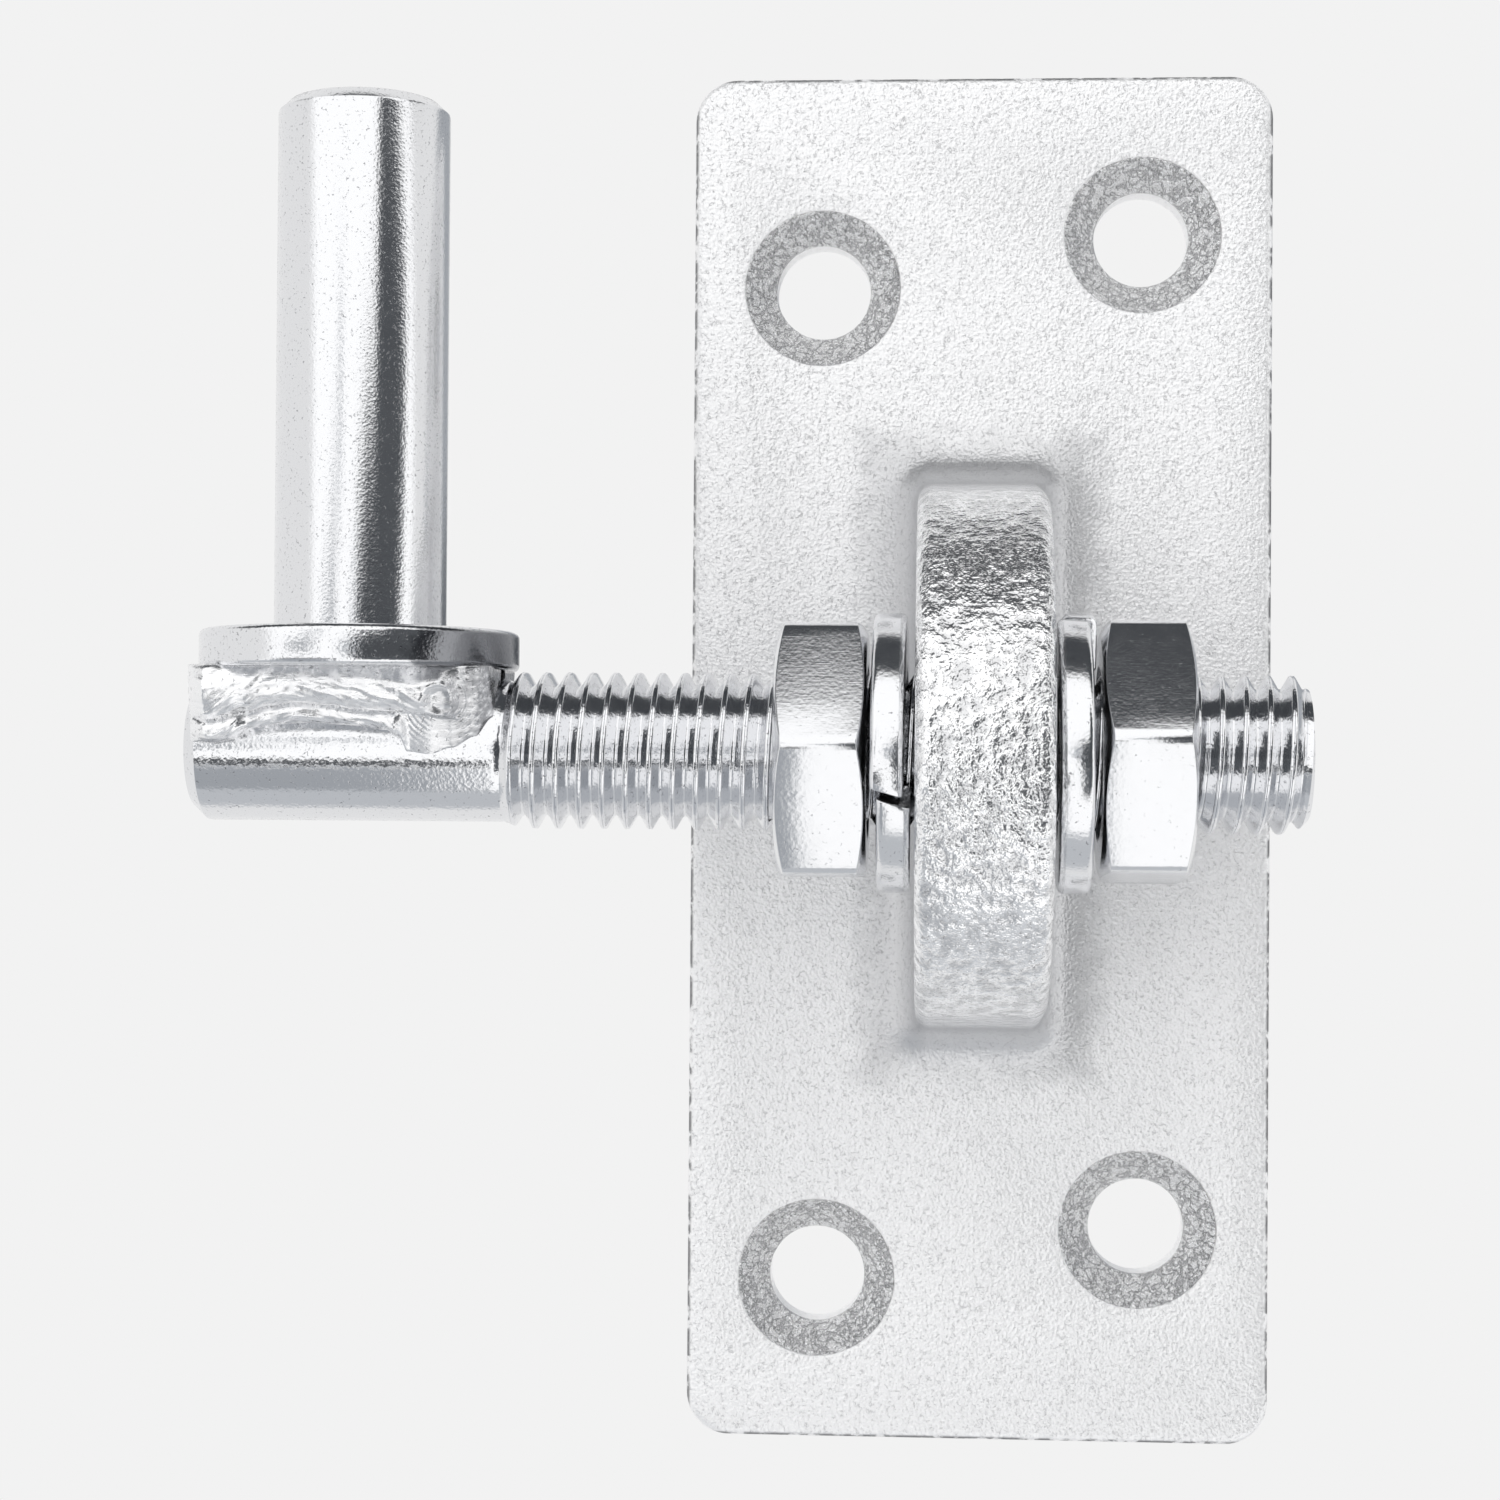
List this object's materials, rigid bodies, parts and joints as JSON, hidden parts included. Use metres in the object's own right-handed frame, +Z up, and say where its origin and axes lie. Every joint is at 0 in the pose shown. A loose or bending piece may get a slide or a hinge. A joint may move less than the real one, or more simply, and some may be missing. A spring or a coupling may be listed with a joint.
{
  "type": "adjustable hinge hook on plate",
  "caption": "Screw-on plate with an ear that clamps a threaded hook between nuts and spring washers; the upright pin carries a hinge strap.",
  "frame": {"origin": "centre of the plate's back face", "axes": "+X along the rod towards its free end, +Y out of the back face into the wall, +Z up along the pin and the plate's length"},
  "size_m": [0.0842, 0.039, 0.112],
  "materials": {
    "casting": "galvanised, granular",
    "bright_steel": "bright zinc plated",
    "spring_steel": "bright zinc plated, polished",
    "weld_metal": "zinc plated weld, rippled"
  },
  "bodies": {
    "base": {"mounting_plate": "casting"},
    "washer_pair": {"inner_spring_washer": "spring_steel", "outer_spring_washer": "spring_steel"},
    "hook": {"threaded_rod": "bright_steel", "hook_pin": "bright_steel", "pin_collar": "bright_steel", "front_weld_bead": "weld_metal", "rear_weld_bead": "weld_metal"},
    "near_nut": {"inner_nut": "bright_steel"},
    "far_nut": {"outer_nut": "bright_steel"}
  },
  "joints": [
    {"name": "hook_swivel", "type": "hinge", "parent": "base", "child": "washer_pair", "pos_m": [0, -0.025, 0], "axis": [1, 0, 0], "continuous": true},
    {"name": "inner_nut_spin", "type": "hinge", "parent": "washer_pair", "child": "near_nut", "pos_m": [0, -0.025, 0], "axis": [1, 0, 0], "range_deg": [-1440, 3240]},
    {"name": "outer_nut_spin", "type": "hinge", "parent": "washer_pair", "child": "far_nut", "pos_m": [0, -0.025, 0], "axis": [1, 0, 0], "range_deg": [-1440, 3240]},
    {"name": "hook_slide", "type": "slide", "parent": "washer_pair", "child": "hook", "axis": [1, 0, 0], "range_m": [-0.007, 0.01575]}
  ],
  "couplings": [
    {"joint": "outer_nut_spin", "follows": "inner_nut_spin", "ratio": 1},
    {"joint": "hook_slide", "follows": "inner_nut_spin", "m_per_rad": 0.00027852}
  ]
}
